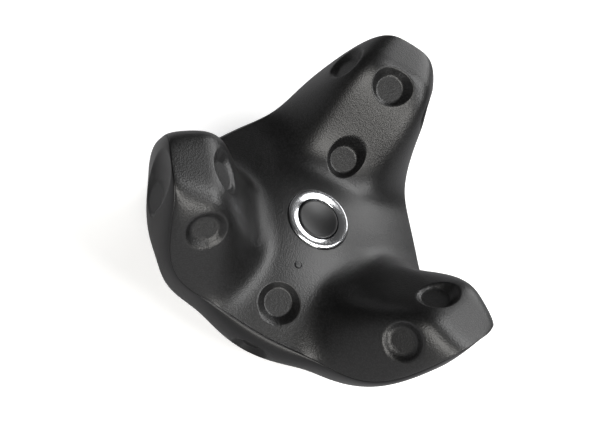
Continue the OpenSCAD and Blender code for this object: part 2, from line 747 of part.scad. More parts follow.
usb_board_w = 9.6;
module usb_board() {
    color([0.05, 0.22, 0.14])
        turned(usb_turn) translate([-usb_board_w / 2, usb_mouth_r - socket_l - 0.8, frame_top + 0.02])
            cube([usb_board_w, socket_l - 1.6, 0.76]);
}
module usb_socket() {
    color([0.78, 0.79, 0.8])
        turned(usb_turn) translate([0, usb_mouth_r - socket_l, usb_z])
            difference() {
                rounded_bar(socket_w, socket_h, socket_l);
                translate([0, 0.8, 0]) rounded_bar(socket_w - 0.6, socket_h - 0.6, socket_l);
            }
}
// Bar with half-round sides, drawn along +Y
module rounded_bar(w, h, l) {
    rotate([-90, 0, 0]) linear_extrude(l) union() {
        square([w - h, h], center = true);
        for (s = [-1, 1]) translate([s * (w - h) / 2, 0]) circle(d = h, $fn = 48);
    }
}
module usb_tongue() {
    color([0.1, 0.1, 0.1])
        turned(usb_turn) translate([-3.3, usb_mouth_r - socket_l + 0.82, usb_z - 0.35])
            cube([6.6, socket_l - 1.6, 0.7]);
}

// Upright rib that carries an arm's sensors, drawn in the arm's own plane
carrier_t = 1.6;
carrier_gap = 1.1;
sensor_depth = dimple_wall + seat_gap;
sensor_t = 1.1;
carrier_low = frame_top + 0.02;
crest_floor = lobe_dimples[0];
// Line behind the crest sensor, in the arm's own plane
function crest_line(along) = let (deep = sensor_depth + sensor_t + 0.9)
    crest_floor[0][2] - deep / crest_floor[1][2]
    - (along - crest_floor[0][1]) * crest_floor[1][1] / crest_floor[1][2];
function wall_share_at(z) = 1 - (z - ledge_z) / (seam_z(0) - seam_gap - ledge_z);
function inner_wall_r(z) =
    wall_r(wall_share_at(z), 0, seam_r(0) - wall, foot_r - 0.4) - carrier_gap;
end_limit = end_dimple_at - sensor_depth - sensor_t - 0.9;
carrier_front = 23.6;
carrier_shoulder = crest_line(carrier_front + 3);
module carrier_plate() {
    outer = [for (z = [carrier_low, 13, 17, 22, 27, crest_line(end_limit) - 1.6])
        [min(inner_wall_r(z), end_limit, z < 12 ? frame_arm_l : 60), z]];
    difference() {
        polygon(concat([[carrier_front, carrier_low]], outer,
            [[end_limit, crest_line(end_limit) - 1.6], [carrier_front + 4.5, crest_line(carrier_front + 4.5)],
            [carrier_front, carrier_shoulder - 5]]));
        // Lightening holes
        translate([28.3, 15.6]) circle(r = 2.6, $fn = 48);
        translate([29, 23]) circle(r = 3, $fn = 48);
    }
}
module sensor_carrier(turn) {
    color([0.2, 0.2, 0.21])
        turned(turn) translate([carrier_t / 2, 0, 0]) rotate([90, 0, 90]) translate([0, 0, -carrier_t])
            linear_extrude(carrier_t) carrier_plate();
}
module sensor_carrier_a() { sensor_carrier(arm_turns[0]); }
module sensor_carrier_b() { sensor_carrier(arm_turns[1]); }
module sensor_carrier_c() { sensor_carrier(arm_turns[2]); }

flank_floor = lobe_dimples[2];
flank_back = flank_floor[0] - (sensor_depth + sensor_t + 0.1) * flank_floor[1];
flex_t = 0.25;
flex_low = 4.2;
module sensor_flex(turn) {
    color([0.75, 0.45, 0.12])
        turned(turn) translate([0, flank_back[1] + 1, 0]) rotate([90, 0, 0]) linear_extrude(2)
            for (s = [-1, 1]) {
                half = carrier_t / 2 + 0.1;
                side = abs(flank_back[0]) - 0.4;
                top = flank_back[2];
                // Strip from behind the flank sensor to the rib and down its side
                polygon([[s * side, top], [s * half, top - 1.2], [s * half, top - 1.2 - flex_low],
                    [s * (half + flex_t), top - 1.2 - flex_low], [s * (half + flex_t), top - 1.4],
                    [s * side, top - 0.28]]);
            }
}
module sensor_flex_a() { sensor_flex(arm_turns[0]); }
module sensor_flex_b() { sensor_flex(arm_turns[1]); }
module sensor_flex_c() { sensor_flex(arm_turns[2]); }

// Light sensor on its small board, facing a dimple's floor
module sensor() {
    color([0.16, 0.1, 0.2])
        translate([0, 0, -sensor_depth - sensor_t]) {
            translate([-2, -2, 0]) cube([4, 4, 0.2]);
            translate([-1.5, -1.5, 0.2 - eps]) cube([3, 3, sensor_t - 0.2 + eps]);
        }
}
module lobe_sensors(turn) {
    turned(turn) {
        for (dimple = lobe_dimples) at_dimple(dimple) sensor();
        at_dimple(end_dimple) sensor();
    }
}
module sensors_a() { lobe_sensors(arm_turns[0]); }
module sensors_b() { lobe_sensors(arm_turns[1]); }
module sensors_c() { lobe_sensors(arm_turns[2]); }
edge_back = edge_dimple[0] - (sensor_depth + sensor_t) * edge_dimple[1];
edge_sensor = [-edge_back[1] + 0.5, edge_back[2] - 1.1];
module sensors_centre() {
    for (dimple = concat(centre_dimples, valley_dimples)) at_dimple(dimple) sensor();
}

top_shell();
bottom_shell();
base_cover();
grip_pad();
thread_insert();
contact_block();
contact_pins();
base_screws();
shell_screws();
inner_frame();
frame_screws();
battery();
battery_pad();
battery_wires();
battery_connector();
main_board();
shield_can();
board_chips();
chip_antenna();
switch_body();
switch_plunger();
power_button();
button_ring();
light_pipe();
status_led();
usb_board();
usb_socket();
usb_tongue();
sensor_carrier_a();
sensor_carrier_b();
sensor_carrier_c();
sensor_flex_a();
sensor_flex_b();
sensor_flex_c();
sensors_a();
sensors_b();
sensors_c();
sensors_centre();
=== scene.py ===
import json
import math

import bpy
import numpy as np
from mathutils import Matrix, Vector


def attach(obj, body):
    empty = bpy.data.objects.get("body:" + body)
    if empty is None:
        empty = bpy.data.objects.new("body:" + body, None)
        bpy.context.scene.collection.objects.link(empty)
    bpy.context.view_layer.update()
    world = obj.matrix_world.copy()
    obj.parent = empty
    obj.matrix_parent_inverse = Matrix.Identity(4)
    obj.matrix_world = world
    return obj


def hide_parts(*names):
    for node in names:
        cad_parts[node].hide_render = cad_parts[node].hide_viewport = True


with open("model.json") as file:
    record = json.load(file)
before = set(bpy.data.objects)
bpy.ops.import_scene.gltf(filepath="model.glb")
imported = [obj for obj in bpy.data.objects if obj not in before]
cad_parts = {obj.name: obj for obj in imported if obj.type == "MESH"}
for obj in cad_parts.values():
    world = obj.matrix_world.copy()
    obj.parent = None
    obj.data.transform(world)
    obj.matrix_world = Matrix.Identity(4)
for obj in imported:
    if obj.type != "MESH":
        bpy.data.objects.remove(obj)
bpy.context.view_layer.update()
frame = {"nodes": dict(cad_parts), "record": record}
mm = 0.001
print("frame loaded")


# The body's own surface, in millimetres; turns are in degrees from the first arm
bodyShape = {
    "buttonHeight": 24.1,
    "domeRadius": 54.3,
    "armReach": 41.1,
    "valleyReach": 28.3,
    "armAngle": 29.4,  # half angle over which the arm keeps its reach
    "armSquareness": 5.4,
    "seamTipHeight": 43.9,
    "seamValleyHeight": 16.8,
    "seamAngle": 17.8,
    "seamSquareness": 4.2,
    "seamGap": 0.2,
    "crestHeight": 44.1,
    "riseStart": 8.8,
    "riseEnd": 34.7,
    "crestHalfWidth": 13.8,
    "crestSquareness": 5.8,
    "fullWidthAt": 29.0,
    "rimSharpness": 13.0,
    "footRadius": 21.9,
    "footHeight": 0.4,
    "fullness": 1.8,  # how far down the wall keeps its reach, at the arms and the valleys
    "flankFullness": 0.78,
    "tipSwell": 1.0,
    "valleySwell": 1.7,
    "swellPower": 0.6,  # below 1, so that the wall swells most above its middle
    "wallThickness": 1.8,
    "lipHeight": 1.2,
    "coverRadius": 20.6,
    "coverTop": 2.4,
}
armTurns = [0, 120, 240]


def foldTurn(turn):  # angle from the nearest arm, as the form repeats every 120 degrees
    return np.abs((turn + 420) % 120 - 60)


def hump(turn, halfAngle, squareness):  # 1 in the middle of an arm, 0 in a valley
    edge = math.sin(math.radians(1.5 * halfAngle))
    far = 1 / (1 + (1 / edge) ** squareness)
    ratio = np.sin(np.radians(1.5 * foldTurn(turn))) / edge
    return (1 / (1 + ratio ** squareness) - far) / (1 - far)


def seamRadius(turn):
    shape = bodyShape
    reach = shape["armReach"] - shape["valleyReach"]
    return shape["valleyReach"] + reach * hump(turn, shape["armAngle"], shape["armSquareness"])


def seamHeight(turn):
    shape = bodyShape
    climb = shape["seamTipHeight"] - shape["seamValleyHeight"]
    rise = hump(turn, shape["seamAngle"], shape["seamSquareness"])
    return shape["seamValleyHeight"] + climb * rise


def crownHeight(radius, turn):  # shallow dome that runs up into the three arms
    shape = bodyShape
    angle = np.radians(foldTurn(turn))
    along, side = radius * np.cos(angle), radius * np.sin(angle)
    back = (shape["fullWidthAt"] - along) / (shape["fullWidthAt"] - shape["riseStart"] + 1)
    halfWidth = shape["crestHalfWidth"] * np.sqrt(1 - np.clip(back, 0, 0.999) ** 2)
    rise = np.clip((along - shape["riseStart"]) / (shape["riseEnd"] - shape["riseStart"]), 0, 1)
    lift = rise ** 3 * (10 - 15 * rise + 6 * rise ** 2)  # smooth step from 0 to 1
    arm = lift / (1 + (side / halfWidth) ** shape["crestSquareness"])
    dome = shape["buttonHeight"] - radius ** 2 / 2 / shape["domeRadius"]
    return dome * (1 - arm) + shape["crestHeight"] * arm


def atTurn(radius, turn, height):
    angle = np.radians(turn)
    return np.stack([-radius * np.sin(angle), radius * np.cos(angle), height], -1)


def circleRow(radius, height, angles):
    return atTurn(radius + 0 * angles, angles, height + 0 * angles)


def topPoint(radius, turn):
    edgeRadius, edgeHeight = seamRadius(turn), seamHeight(turn)
    share = np.minimum(radius / edgeRadius, 1)
    drop = 1 - np.sqrt(np.maximum(0, 1 - share ** bodyShape["rimSharpness"]))
    height = crownHeight(radius, turn) + (edgeHeight - crownHeight(edgeRadius, turn)) * drop
    return atTurn(radius, turn, height)


def wallPoint(down, turn):  # down runs from 0 at the seam to 1 at the foot
    shape = bodyShape
    flank = np.sin(np.radians(3 * foldTurn(turn))) ** 2
    fullness = shape["fullness"] * (1 - flank) + shape["flankFullness"] * flank
    tip = hump(turn, shape["armAngle"], shape["armSquareness"])
    swell = shape["valleySwell"] + (shape["tipSwell"] - shape["valleySwell"]) * tip
    reach = (seamRadius(turn) - shape["footRadius"]) * np.sqrt(np.maximum(0, 1 - down ** fullness))
    radius = shape["footRadius"] + reach + swell * np.sin(np.pi * down ** shape["swellPower"])
    drop = seamHeight(turn) - shape["seamGap"] - shape["footHeight"]
    return atTurn(radius, turn, shape["footHeight"] + drop * (1 - down))


# Sensor dimples: flat floor, conical wall, softly rounded rim; leans are in degrees
dimpleShape = {
    "rimDiameter": 9.5,
    "floorDiameter": 6.1,
    "depth": 1.7,
    "rootDepth": 1.6,
    "rootFlare": 0.74,
    "rimRounding": 0.14,
    "floorRounding": 0.1,
    "crestAt": 28.3,
    "crestLean": 33,
    "flankAt": 32.5,
    "flankSide": 11.3,
    "flankLean": 61,
    "rootAt": 17.0,
    "rootLean": 34,
    "edgeAt": 21.2,
    "edgeLean": 24,
    "endAt": 39.3,
    "endHeight": 28.8,
    "endLean": 7,
    "endFlare": 1.2,
    "rampRun": 2.259,
    "rampSpread": 0.833,
    "rampRounding": 0.5,
    "valleyDown": 0.42,  # share of the way from the seam to the foot
    "reach": 8.0,  # how far from its axis a dimple may touch the surface
    "rampReach": 15.0,
    "reachBelow": 3,
    "reachAbove": 6,
}
floorRadius = dimpleShape["floorDiameter"] / 2
flare = (dimpleShape["rimDiameter"] / 2 - floorRadius) / dimpleShape["depth"]


def leaning(lean, x, y):  # direction that leans from upright towards (x, y)
    tilt = math.radians(lean)
    return np.array([x * math.sin(tilt), y * math.sin(tilt), math.cos(tilt)])


def turnedBy(vector, turn):
    return np.array(Matrix.Rotation(math.radians(turn), 3, "Z") @ Vector(vector))


def dimpleAt(middle, look, flareOut=flare, ramp=False):
    return {"floor": np.array(middle), "look": np.array(look), "flare": flareOut, "ramp": ramp}


def sunk(point, look, depth=dimpleShape["depth"], flareOut=flare):
    return dimpleAt(point - depth * look, look, flareOut)


def dimpleTurned(dimple, turn):
    return dict(dimple, floor=turnedBy(dimple["floor"], turn), look=turnedBy(dimple["look"], turn))


def armDimples():
    shape = dimpleShape
    flankRadius = math.hypot(shape["flankAt"], shape["flankSide"])
    flankTurn = math.degrees(math.atan2(shape["flankSide"], shape["flankAt"]))
    dimples = [sunk(topPoint(shape["crestAt"], 0), leaning(shape["crestLean"], 0, -1))]
    for side in (-1, 1):
        look = leaning(shape["flankLean"], -side, 0)
        dimples.append(sunk(topPoint(flankRadius, side * flankTurn), look))
    return [dimpleTurned(dimple, turn) for turn in armTurns for dimple in dimples]


def centreDimples():
    shape = dimpleShape
    root = leaning(shape["rootLean"], 0, -1)
    edge = leaning(shape["edgeLean"], 0, -1)
    return [sunk(topPoint(shape["rootAt"], 0), root, shape["rootDepth"], shape["rootFlare"]),
            sunk(topPoint(shape["edgeAt"], 180), edge)]


def wallDimples():
    shape = dimpleShape
    look = leaning(90 - shape["endLean"], 0, 1)
    end = dimpleAt([0, shape["endAt"], shape["endHeight"]], look, shape["endFlare"], ramp=True)
    dimples = [dimpleTurned(end, turn) for turn in armTurns]
    down, downStep, turnStep = shape["valleyDown"], 0.02, 0.6
    for turn in (180, 300):
        lengthwise = wallPoint(down + downStep, turn) - wallPoint(down - downStep, turn)
        sideways = wallPoint(down, turn + turnStep) - wallPoint(down, turn - turnStep)
        outward = np.cross(lengthwise, sideways)
        outward /= np.linalg.norm(outward)
        dimples.append(sunk(wallPoint(down, turn), outward))
    return dimples


def softMin(a, b, rounding):
    return np.minimum(a, b) - np.maximum(rounding - np.abs(a - b), 0) ** 2 / 4 / rounding


def rampHeight(across, distance, look):  # a cone that leans up the wall from the dimple's floor
    run, spread, nowhere = dimpleShape["rampRun"], dimpleShape["rampSpread"], 99.0
    upward = np.array([0, 0, 1]) - look[2] * look
    upward /= np.linalg.norm(upward)
    lead = across @ upward * run + floorRadius * spread
    bend = run ** 2 - spread ** 2
    inside = lead ** 2 - bend * (distance ** 2 - floorRadius ** 2)
    height = (lead - np.sqrt(np.maximum(inside, 0))) / bend
    return np.where((inside > 0) & (lead > 0), height, nowhere)


def pressDimples(points, dimples):  # lowers the surface along each dimple's own axis
    shape = dimpleShape
    for dimple in dimples:
        look = dimple["look"]
        offset = points - dimple["floor"]
        height = offset @ look
        across = offset - height[..., None] * look
        distance = np.linalg.norm(across, axis=-1)
        bowl = (distance - floorRadius) / dimple["flare"]
        reach = shape["reach"]
        if dimple["ramp"]:  # the wall of an end dimple runs up in a long ramp
            bowl = softMin(bowl, rampHeight(across, distance, look), shape["rampRounding"])
            reach = shape["rampReach"]
        bowl = -softMin(-bowl, 0 * bowl, shape["floorRounding"])
        near = (distance < reach) & (height > -shape["reachBelow"]) & (height < shape["reachAbove"])
        pressed = softMin(height, bowl, shape["rimRounding"])
        points = points + np.where(near, pressed - height, 0)[..., None] * look
    return points


def bentGrid(name, rows, dropFaces=None):  # closed rows of points that share their turns
    rowCount, columnCount = len(rows), len(rows[0])
    points = np.concatenate(rows) * mm
    row, column = np.meshgrid(np.arange(rowCount - 1), np.arange(columnCount), indexing="ij")
    following = (column + 1) % columnCount
    corners = [row * columnCount + column, row * columnCount + following,
               (row + 1) * columnCount + following, (row + 1) * columnCount + column]
    faces = np.stack(corners, -1).reshape(-1, 4)
    if dropFaces is not None:
        middles = points[faces].mean(axis=1) / mm
        faces = faces[~dropFaces(middles)]
    mesh = bpy.data.meshes.new(name)
    mesh.from_pydata(points.tolist(), [], faces.tolist())
    mesh.validate()
    mesh.shade_smooth()
    piece = bpy.data.objects.new(name, mesh)
    bpy.context.scene.collection.objects.link(piece)
    return piece


def toLinear(hexColour):  # from an sRGB hex colour
    channels = [int(hexColour[i:i + 2], 16) / 255 for i in (1, 3, 5)]
    return tuple(c / 12.92 if c <= 0.04045 else ((c + 0.055) / 1.055) ** 2.4 for c in channels) + (1,)


def addNode(tree, kind, settings={}, links={}):
    node = tree.nodes.new(kind)
    for key, value in settings.items():
        if key in node.inputs:
            node.inputs[key].default_value = value
        else:
            setattr(node, key, value)
    for key, source in links.items():
        tree.links.new(source, node.inputs[key])
    return node


def mixColours(tree, share, first, second):  # its colour sockets have no names of their own
    mix = addNode(tree, "ShaderNodeMix", {"data_type": "RGBA"}, {"Factor": share})
    mix.inputs[6].default_value = toLinear(first)
    mix.inputs[7].default_value = toLinear(second)
    return mix.outputs[2]


# Colour that drifts a little, fine grain in the bump, broad change in the gloss; on a stippled finish the
# colour instead carries painted light and shade in the pits
def finishMaterial(finish):
    material = bpy.data.materials.new(finish["name"])
    material.use_nodes = True
    tree = material.node_tree
    tree.nodes.clear()
    spot = addNode(tree, "ShaderNodeTexCoord").outputs["Object"]
    grainScale, driftScale = 1 / (finish["grain"] * mm), 1 / (finish["drift"] * mm)
    drift = addNode(tree, "ShaderNodeTexNoise", {"Scale": driftScale, "Detail": 2.0}, {"Vector": spot})
    if finish.get("stipple"):  # rounded pits of one size, with painted light on their floors and painted shade on their rims
        grain = addNode(tree, "ShaderNodeTexVoronoi", {"Scale": grainScale}, {"Vector": spot})
        paintedPitLight = addNode(tree, "ShaderNodeMapRange", {"From Min": 0.15, "From Max": 0.6},
                       {"Value": grain.outputs["Distance"]})
        driftAndPaintedPitLight = paintedPitLight.outputs["Result"]
    else:
        grain = addNode(tree, "ShaderNodeTexNoise", {"Scale": grainScale, "Detail": 3.0, "Roughness": 0.6},
                        {"Vector": spot})
        driftAndPaintedPitLight = drift.outputs["Fac"]
    # on the stipple this share paints light into the pit floors and shade onto their rims; elsewhere it is the
    # colour's own drift
    colour = mixColours(tree, driftAndPaintedPitLight, finish["colour"], finish["colourToo"])
    roughness, change = finish["roughness"], finish["roughnessChange"]
    gloss = addNode(tree, "ShaderNodeMapRange", {"To Min": roughness - change, "To Max": roughness + change},
                    {"Value": drift.outputs["Fac"]})
    bump = addNode(tree, "ShaderNodeBump", {"Strength": finish["bump"], "Distance": finish["bumpDepth"] * mm},
                   {"Height": grain.outputs[0]})
    shader = addNode(tree, "ShaderNodeBsdfPrincipled", {"Metallic": finish.get("metallic", 0.0)},
                     {"Base Color": colour, "Roughness": gloss.outputs["Result"],
                      "Normal": bump.outputs["Normal"]})
    for key, socket in (("ior", "IOR"), ("specular", "Specular IOR Level")):
        if key in finish:
            shader.inputs[socket].default_value = finish[key]
    addNode(tree, "ShaderNodeOutputMaterial", {}, {"Surface": shader.outputs["BSDF"]})
    return material


# Grain, bump depth and drift in millimetres; a grain finer than a pixel of the render is drawn coarser
finishes = {
    "topShell": {  # spark-eroded mould: a fine stipple that breaks up every highlight; its first colour is painted light on the pit floors, its second painted shade on their rims
        "name": "moulded ABS with a spark-eroded top", "colour": "#1a1a1b", "colourToo": "#020202",
        "roughness": 0.4, "roughnessChange": 0.02, "grain": 0.36, "bump": 1.0, "bumpDepth": 0.03,
        "stipple": True, "drift": 14, "ior": 1.5, "specular": 0.65},
    "wallShell": {  # smoother than the top: satin, with long soft highlights
        "name": "moulded ABS with a satin side", "colour": "#0a0a0b", "colourToo": "#0e0e0f",
        "roughness": 0.36, "roughnessChange": 0.03, "grain": 0.6, "bump": 0.12, "bumpDepth": 0.02,
        "drift": 18, "ior": 1.5},
    "shell_plastic": {  # the same ABS on the base cover
        "name": "moulded ABS with a plain satin face", "colour": "#1c1c1e", "colourToo": "#212123",
        "roughness": 0.42, "roughnessChange": 0.04, "grain": 0.5, "bump": 0.2, "bumpDepth": 0.02,
        "drift": 10, "ior": 1.5},
    "buttonCap": {  # handled surface: smoother than the housing
        "name": "moulded ABS button with a polished dish", "colour": "#0b0b0c", "colourToo": "#0f0f10",
        "roughness": 0.3, "roughnessChange": 0.03, "grain": 0.5, "bump": 0.08, "bumpDepth": 0.01,
        "drift": 4, "ior": 1.5},
    "inner_plastic": {  # plain dark nylon, slightly mottled
        "name": "glass-filled nylon", "colour": "#1b1b1c", "colourToo": "#2b2b2c", "roughness": 0.55,
        "roughnessChange": 0.06, "grain": 0.5, "bump": 0.2, "bumpDepth": 0.02, "drift": 3, "ior": 1.53},
    "pad_rubber": {  # dull and finely pitted
        "name": "moulded silicone rubber", "colour": "#1a1a1a", "colourToo": "#232323", "roughness": 0.75,
        "roughnessChange": 0.06, "grain": 0.4, "bump": 0.4, "bumpDepth": 0.03, "drift": 5, "ior": 1.41},
    "brass_insert": {  # turned brass, yellow with faint tool marks
        "name": "turned brass", "colour": "#b5904e", "colourToo": "#c7a565", "roughness": 0.28,
        "roughnessChange": 0.06, "grain": 0.4, "bump": 0.15, "bumpDepth": 0.01, "drift": 3, "metallic": 1.0},
    "gold_contacts": {  # thin bright plating
        "name": "gold-plated brass", "colour": "#d8b25c", "colourToo": "#e3c073", "roughness": 0.18,
        "roughnessChange": 0.04, "grain": 0.4, "bump": 0.05, "bumpDepth": 0.01, "drift": 2, "metallic": 1.0},
    "screw_steel": {  # dark zinc plating, slightly blotchy
        "name": "black zinc-plated steel", "colour": "#4c4c4e", "colourToo": "#5b5b5e", "roughness": 0.35,
        "roughnessChange": 0.06, "grain": 0.4, "bump": 0.15, "bumpDepth": 0.01, "drift": 1.5, "metallic": 1.0},
    "battery_foil": {  # aluminium laminate, dull with shallow creases
        "name": "aluminium laminate foil", "colour": "#b9bbbe", "colourToo": "#cacccf", "roughness": 0.42,
        "roughnessChange": 0.06, "grain": 1.5, "bump": 0.3, "bumpDepth": 0.05, "drift": 4, "metallic": 1.0},
    "wire_insulation": {  # smooth extruded silicone
        "name": "extruded silicone insulation", "colour": "#a01a16", "colourToo": "#b02420", "roughness": 0.4,
        "roughnessChange": 0.03, "grain": 0.5, "bump": 0.05, "bumpDepth": 0.01, "drift": 2, "ior": 1.41},
    "connector_plastic": {  # off-white nylon, slightly waxy
        "name": "natural nylon", "colour": "#dedac8", "colourToo": "#e6e3d4", "roughness": 0.45,
        "roughnessChange": 0.04, "grain": 0.5, "bump": 0.1, "bumpDepth": 0.01, "drift": 2, "ior": 1.53},
    "circuit_board": {  # green solder mask with the copper's faint relief
        "name": "solder-masked glass epoxy", "colour": "#0e4a30", "colourToo": "#15603e", "roughness": 0.32,
        "roughnessChange": 0.05, "grain": 0.8, "bump": 0.25, "bumpDepth": 0.02, "drift": 1.2, "ior": 1.55},
    "tinned_steel": {  # pressed sheet, bright but softly brushed
        "name": "tinned steel sheet", "colour": "#b4b5b8", "colourToo": "#c6c7ca", "roughness": 0.3,
        "roughnessChange": 0.05, "grain": 0.4, "bump": 0.1, "bumpDepth": 0.01, "drift": 2, "metallic": 1.0},
    "chip_resin": {  # matt black moulding resin
        "name": "moulded epoxy resin", "colour": "#18181a", "colourToo": "#202022", "roughness": 0.6,
        "roughnessChange": 0.05, "grain": 0.4, "bump": 0.3, "bumpDepth": 0.02, "drift": 1.5, "ior": 1.55},
    "plunger_plastic": {  # smooth dark red nylon
        "name": "moulded red nylon", "colour": "#8f1a1a", "colourToo": "#9c2420", "roughness": 0.35,
        "roughnessChange": 0.03, "grain": 0.4, "bump": 0.05, "bumpDepth": 0.01, "drift": 1, "ior": 1.53},
    "ring_chrome": {  # bright plating: mirrors the room with a trace of haze
        "name": "chrome-plated ABS", "colour": "#e4e5e8", "colourToo": "#eeeff1", "roughness": 0.14,
        "roughnessChange": 0.03, "grain": 0.6, "bump": 0.03, "bumpDepth": 0.01, "drift": 6, "metallic": 1.0},
    "indicatorLens": {  # smoked window: nearly black until it is lit
        "name": "smoked polycarbonate", "colour": "#1c1d1e", "colourToo": "#242526", "roughness": 0.3,
        "roughnessChange": 0.02, "grain": 0.5, "bump": 0.03, "bumpDepth": 0.01, "drift": 2, "ior": 1.58},
    "led_resin": {  # milky yellow resin
        "name": "phosphor-filled silicone", "colour": "#e6e2b8", "colourToo": "#efeccb", "roughness": 0.4,
        "roughnessChange": 0.03, "grain": 0.4, "bump": 0.05, "bumpDepth": 0.01, "drift": 1, "ior": 1.41},
    "flex_circuit": {  # amber film with the traces' faint relief
        "name": "polyimide film", "colour": "#a5681c", "colourToo": "#b8772a", "roughness": 0.3,
        "roughnessChange": 0.04, "grain": 0.6, "bump": 0.2, "bumpDepth": 0.02, "drift": 1.5, "ior": 1.7},
    "sensor_resin": {  # nearly black, faintly violet
        "name": "infrared-passing epoxy", "colour": "#231a2b", "colourToo": "#2c2136", "roughness": 0.2,
        "roughnessChange": 0.03, "grain": 0.5, "bump": 0.03, "bumpDepth": 0.01, "drift": 2, "ior": 1.55},
}
materials = {key: finishMaterial(finish) for key, finish in finishes.items()}
print("materials made:", len(materials))


def place(piece, body, slotName, materialKey, *nodes):
    piece.data.materials.append(materials[materialKey])
    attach(piece, body)
    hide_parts(*nodes)


# The two housing halves
shellGrid = {"turns": 960, "topRows": 118, "rimRows": 20, "wallRows": 150}
turns = np.arange(shellGrid["turns"]) * 360 / shellGrid["turns"]
usbPort = {
    "turn": 60, "height": 12.28,
    "recessWidth": 12.14, "recessHeight": 6.26, "recessDepth": 0.9, "recessRounding": 0.45,
    "shellWidth": 8.94, "shellHeight": 3.26, "mouthMargin": 0.3,
}


def slotDistance(across, upward, width, height):  # how far a point lies outside a round-ended slot
    past = np.maximum(np.abs(across) - (width - height) / 2, 0)
    return np.hypot(past, upward) - height / 2


def portPlace(points):  # how far out, sideways and up a point lies from the port
    angle = math.radians(usbPort["turn"])
    outward = np.array([-math.sin(angle), math.cos(angle), 0])
    sideways = np.array([math.cos(angle), math.sin(angle), 0])
    return points @ outward, points @ sideways, points[..., 2] - usbPort["height"], outward


def portFaceRadius():  # distance of the wall's face from the axis at the port's height
    shape = bodyShape
    drop = seamHeight(usbPort["turn"]) - shape["seamGap"] - shape["footHeight"]
    down = 1 - (usbPort["height"] - shape["footHeight"]) / drop
    return float(np.hypot(*wallPoint(down, usbPort["turn"])[:2]))


def pressPort(points):
    out, side, up, outward = portPlace(points)
    beyond = slotDistance(side, up, usbPort["recessWidth"], usbPort["recessHeight"])
    floorAt = portFaceRadius() - usbPort["recessDepth"]
    depth = np.clip(-beyond / usbPort["recessRounding"], 0, 1)
    depth = depth * depth * (3 - 2 * depth)
    near = (out > 0) & (beyond < 0)
    return points + np.where(near, (floorAt - out) * depth, 0)[..., None] * outward


def insideSocket(middles):  # the faces that would close the socket's mouth
    out, side, up = portPlace(middles)[:3]
    margin = usbPort["mouthMargin"]
    beyond = slotDistance(side, up, usbPort["shellWidth"] - margin, usbPort["shellHeight"] - margin)
    return (out > 0) & (beyond < 0)


topMoulding = {
    "openingRadius": 7.3,
    "openingDepth": 2.2,
    "rimStart": 0.88,  # share of the edge's radius where the rows start to follow the rounded rim
    "lipClearance": 0.2,
    "lipThickness": 0.8,
}


def makeTopShell():
    shape = topMoulding
    opening, rimStart = shape["openingRadius"], shape["rimStart"]
    edge, height = seamRadius(turns), seamHeight(turns)
    sharpness = bodyShape["rimSharpness"]
    radii = [opening + (edge * rimStart - opening) * share
             for share in np.linspace(0, 1, shellGrid["topRows"])]
    firstAngle = math.asin(rimStart ** (sharpness / 2))
    rimAngles = np.linspace(firstAngle, math.pi / 2, shellGrid["rimRows"] + 1)[1:]
    radii += [edge * math.sin(angle) ** (2 / sharpness) for angle in rimAngles]
    rows = [circleRow(opening, bodyShape["buttonHeight"] - shape["openingDepth"], turns)]
    dimples = armDimples() + centreDimples()
    rows += [pressDimples(topPoint(radius, turns), dimples) for radius in radii]
    inner = edge - bodyShape["wallThickness"] - shape["lipClearance"]
    lipFoot = height - bodyShape["lipHeight"]
    rows.append(atTurn(inner, turns, height))
    rows.append(atTurn(inner, turns, lipFoot))
    rows.append(atTurn(inner - shape["lipThickness"], turns, lipFoot))
    return bentGrid("top_shell_moulding", rows)


wallMoulding = {"innerDepth": 2, "rowBunching": 1.15}  # above 1, the rows lie closer near the seam


def makeWallShell():
    edge, height = seamRadius(turns), seamHeight(turns) - bodyShape["seamGap"]
    inner = edge - bodyShape["wallThickness"]
    rows = [atTurn(inner, turns, height - wallMoulding["innerDepth"]), atTurn(inner, turns, height)]
    dimples = wallDimples()
    downs = np.linspace(0, 1, shellGrid["wallRows"]) ** wallMoulding["rowBunching"]
    for down in downs:
        rows.append(pressPort(pressDimples(wallPoint(down + 0 * turns, turns), dimples)))
    rows.append(circleRow(bodyShape["coverRadius"], bodyShape["footHeight"], turns))
    rows.append(circleRow(bodyShape["coverRadius"], bodyShape["coverTop"], turns))
    return bentGrid("bottom_shell_moulding", rows, dropFaces=insideSocket)


place(makeTopShell(), "housing", "shell_plastic", "topShell", "top_shell")
place(makeWallShell(), "housing", "shell_plastic", "wallShell", "bottom_shell")
print("housing halves made")


# The turned pieces in the middle: button, ring and indicator
nearAxis = 0.001  # a profile stops just off the axis, so that no face folds up


def turnedPiece(name, profile, middle=(0, 0), segments=192):  # profile is (radius, height) in millimetres
    angles = np.arange(segments) * 360 / segments
    rows = [circleRow(radius, height, angles) + np.array([*middle, 0]) for radius, height in profile]
    return bentGrid(name, rows)


def roundCorner(middle, radius, start, end, steps=6):  # arc in the profile plane, angles in degrees
    angles = [math.radians(angle) for angle in np.linspace(start, end, steps)]
    return [(middle[0] + radius * math.cos(angle), middle[1] + radius * math.sin(angle)) for angle in angles]


buttonShape = {
    "radius": 4.75, "top": 24.0, "dish": 0.35, "edgeRounding": 0.35,
    "flange": 20.7, "flangeTop": 21.5, "flangeRadius": 6.1, "stemRadius": 1.6, "stemEnd": 19.98,
}


def makeButton():
    shape = buttonShape
    edge = shape["edgeRounding"]
    inner = shape["radius"] - edge
    dish = [(inner * share, shape["top"] - shape["dish"] * (1 - share ** 2))
            for share in np.linspace(nearAxis, 1, 14)]
    profile = dish + roundCorner((inner, shape["top"] - edge), edge, 80, 0)
    profile += [(shape["radius"], shape["flangeTop"]), (shape["flangeRadius"], shape["flangeTop"]),
                (shape["flangeRadius"], shape["flange"]), (shape["stemRadius"], shape["flange"]),
                (shape["stemRadius"], shape["stemEnd"]), (nearAxis, shape["stemEnd"])]
    return turnedPiece("power_button_cap", profile)


